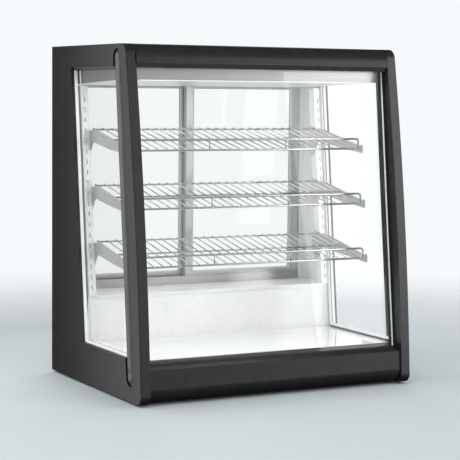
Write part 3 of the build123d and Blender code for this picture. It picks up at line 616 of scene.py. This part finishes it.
# The gasket's section: (share of its width inward, share of the way from pane to frame face).
GASKET_SECTION = ((0.0, 0.0), (0.0, 0.72), (0.45, 0.72), (0.85, 0.5), (1.0, 0.12), (1.0, 0.0))


def rectangle_ring(bm, x_low, x_high, z_low, z_high, profile):
    """A mitred ring inside a rectangle. profile is (distance inward, y) pairs."""
    corners = ((x_low, z_low, 1, 1), (x_high, z_low, -1, 1),
               (x_high, z_high, -1, -1), (x_low, z_high, 1, -1))
    rings = [[Vector((x + sx * inward, y, z + sz * inward)) for inward, y in profile]
             for x, z, sx, sz in corners]
    skin_rings(bm, rings, closed=True)


def door_gasket(side_name):
    """Pale glazing gaskets on both faces of a sliding door's pane."""
    low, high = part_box(f"{side_name}_door_frame")
    glass_low, glass_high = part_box(f"{side_name}_door_glass")
    opening = (low.x + STILE, high.x - STILE, low.z + BOTTOM_RAIL, high.z - TOP_RAIL)
    bm = bmesh.new()
    for glass_y, frame_y in ((glass_low.y, low.y), (glass_high.y, high.y)):
        profile = [(GASKET_WIDTH * inward, glass_y + (frame_y - glass_y) * out)
                   for inward, out in GASKET_SECTION]
        rectangle_ring(bm, *opening, profile)
    name = f"{side_name}_door_gasket"
    add_piece(name, mesh_from(bm, name), "gasket", f"{side_name}_door", False)


for side_name in SIDES:
    door_gasket(side_name)


# ------------------------------------------------------------------ studio
BACKGROUND = (0.93, 0.96, 0.975)
FLOOR_RADIUS, FLOOR_SIDES = 3.2, 96
FLOOR_FADE = (0.75, 2.6)            # metres from the middle where the fade starts and ends
# Grey of the mirrored band by height, from straight down (0) to straight up (1).
BAND = ((0.0, 0.01), (0.28, 0.04), (0.42, 0.45), (0.52, 0.58), (0.60, 0.50), (0.78, 0.12))
BAND_BLUE = 1.02
BAND_FRONT, BAND_BACK = (-1.0, 1.4), (0.7, 0.15)        # (Y of the direction, strength)
SOFT_COLOUR, SOFT_STRENGTH = (0.98, 0.99, 1.0), 1.1
LIGHT_COLOUR = (1.0, 0.995, 0.985)
LAMP_WIDTH, LAMP_GAP, LAMP_RADIANCE = 18 * MM, 2 * MM, 26.0
LAMP_AIM = Vector((0, 0.12, -0.6))  # from the lamp, down and a little to the rear


def studio_floor():
    """A pale floor disc that fades into the pale surroundings."""
    bm = bmesh.new()
    bmesh.ops.create_circle(bm, cap_ends=True, segments=FLOOR_SIDES, radius=FLOOR_RADIUS)
    mesh = mesh_from(bm, "studio_floor")
    floor = bpy.data.objects.new("studio_floor", mesh)
    bpy.context.scene.collection.objects.link(floor)
    made = Finish("studio_floor_paint", (0.46, 0.50, 0.52), 0.6)
    made.tint(made.noise(3, 3), 0.01)
    nodes, links = made.nodes, made.links
    distance = nodes.new("ShaderNodeVectorMath")
    distance.operation = "LENGTH"
    links.new(made.place, distance.inputs[0])
    fade = nodes.new("ShaderNodeMapRange")
    fade.interpolation_type = "SMOOTHSTEP"
    fade.inputs["From Min"].default_value, fade.inputs["From Max"].default_value = FLOOR_FADE
    links.new(distance.outputs["Value"], fade.inputs["Value"])
    clear = nodes.new("ShaderNodeBsdfTransparent")
    mix = nodes.new("ShaderNodeMixShader")
    links.new(fade.outputs["Result"], mix.inputs[0])
    links.new(made.shader.outputs["BSDF"], mix.inputs[1])
    links.new(clear.outputs["BSDF"], mix.inputs[2])
    links.new(mix.outputs["Shader"], nodes["Material Output"].inputs["Surface"])
    floor.data.materials.append(made.material)
    floor.visible_glossy = False


def studio_world():
    """Pale surroundings for the eye, and a low band of light for reflections.

    The band is dimmer behind the case than in front of it, which keeps the left end panel
    dark where it is seen at a slant.
    """
    world = bpy.data.worlds.new("pale_studio")
    bpy.context.scene.world = world
    world.use_nodes = True
    nodes, links = world.node_tree.nodes, world.node_tree.links
    rays = nodes.new("ShaderNodeLightPath")
    seen = nodes.new("ShaderNodeBackground")
    seen.inputs["Color"].default_value = (*BACKGROUND, 1)
    direction = nodes.new("ShaderNodeSeparateXYZ")
    links.new(nodes.new("ShaderNodeTexCoord").outputs["Generated"], direction.inputs["Vector"])
    band = nodes.new("ShaderNodeValToRGB")
    height = nodes.new("ShaderNodeMapRange")
    height.inputs["From Min"].default_value = -1.0
    links.new(direction.outputs["Z"], height.inputs["Value"])
    links.new(height.outputs["Result"], band.inputs["Fac"])
    for i, (place, grey) in enumerate(BAND):
        stop = band.color_ramp.elements[i] if i < 2 else band.color_ramp.elements.new(place)
        stop.position, stop.color = place, (grey, grey, grey * BAND_BLUE, 1)
    mirrored = nodes.new("ShaderNodeBackground")
    links.new(band.outputs["Color"], mirrored.inputs["Color"])
    behind = nodes.new("ShaderNodeMapRange")
    for end, (place, strength) in (("Min", BAND_FRONT), ("Max", BAND_BACK)):
        behind.inputs[f"From {end}"].default_value = place
        behind.inputs[f"To {end}"].default_value = strength
    links.new(direction.outputs["Y"], behind.inputs["Value"])
    links.new(behind.outputs["Result"], mirrored.inputs["Strength"])
    soft = nodes.new("ShaderNodeBackground")
    soft.inputs["Color"].default_value = (*SOFT_COLOUR, 1)
    soft.inputs["Strength"].default_value = SOFT_STRENGTH
    for_gloss = nodes.new("ShaderNodeMixShader")
    links.new(rays.outputs["Is Glossy Ray"], for_gloss.inputs[0])
    links.new(soft.outputs["Background"], for_gloss.inputs[1])
    links.new(mirrored.outputs["Background"], for_gloss.inputs[2])
    whole = nodes.new("ShaderNodeMixShader")
    links.new(rays.outputs["Is Camera Ray"], whole.inputs[0])
    links.new(for_gloss.outputs["Shader"], whole.inputs[1])
    links.new(seen.outputs["Background"], whole.inputs[2])
    links.new(whole.outputs["Shader"], nodes["World Output"].inputs["Surface"])


def soft_box(name, place, target, size, radiance, mirrored=True):
    """A rectangular studio light. radiance is its brightness as a surface.

    With mirrored false, glossy surfaces don't show it.
    """
    light = bpy.data.lights.new(name, "AREA")
    light.shape = "RECTANGLE"
    light.size, light.size_y = size
    light.energy = radiance * math.pi * size[0] * size[1]
    light.color = LIGHT_COLOUR
    obj = bpy.data.objects.new(name, light)
    bpy.context.scene.collection.objects.link(obj)
    obj.location = place
    obj.rotation_mode = "QUATERNION"
    aim = Vector(target) - Vector(place)
    obj.rotation_quaternion = aim.to_track_quat("-Z", "Y")
    obj.visible_camera = False
    obj.visible_glossy = mirrored
    return obj


def studio_lights():
    """Overhead and side fills, mirrored boxes and cards, and the lamp inside the case."""
    middle = (cad_low + cad_high) / 2
    soft_box("overhead_fill", (-0.6, -1.2, 2.8), middle, (2.6, 2.2), 1.5, mirrored=False)
    soft_box("right_front_box", (2.35, -2.75, 1.1), middle, (1.3, 2.4), 3.5)
    soft_box("left_back_box", (-0.80, 0.42, 0.45), (-0.36, -0.15, 0.4), (0.4, 1.5), 1.25)
    soft_box("left_fill", (-2.4, 0.3, 0.9), middle, (1.6, 1.4), 2.0, mirrored=False)
    soft_box("back_card", (0.35, 0.95, 0.85), (0.35, 0.0, 0.85), (1.3, 1.2), 1.0)
    lamp_low, lamp_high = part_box("lamp_diffuser")
    lamp_middle = (lamp_low + lamp_high) / 2
    under = Vector((lamp_middle.x, lamp_middle.y, lamp_low.z - LAMP_GAP))
    soft_box("case_lamp", under, under + LAMP_AIM, (lamp_high.x - lamp_low.x, LAMP_WIDTH),
             LAMP_RADIANCE, mirrored=False)


def studio_camera():
    """The camera: a long lens a little above the shelves, from the front left."""
    place = Vector((-1.8067, -3.3882, 0.6967))
    yaw, pitch, roll = (math.radians(a) for a in (28.089, 4.991, 0.583))
    forward = Vector((math.sin(yaw) * math.cos(pitch), math.cos(yaw) * math.cos(pitch),
                      -math.sin(pitch)))
    level = Vector((math.cos(yaw), -math.sin(yaw), 0))
    above = level.cross(forward)
    right = level * math.cos(roll) + above * math.sin(roll)
    up = above * math.cos(roll) - level * math.sin(roll)
    data = bpy.data.cameras.new("studio_camera")
    data.sensor_width = 36.0
    data.lens = 124.5
    camera = bpy.data.objects.new("studio_camera", data)
    bpy.context.scene.collection.objects.link(camera)
    rotation = Matrix((right, up, -forward)).transposed()
    camera.matrix_world = Matrix.Translation(place) @ rotation.to_4x4()
    bpy.context.scene.camera = camera


studio_floor()
studio_world()
studio_lights()
studio_camera()
bpy.context.scene.view_settings.view_transform = "Standard"
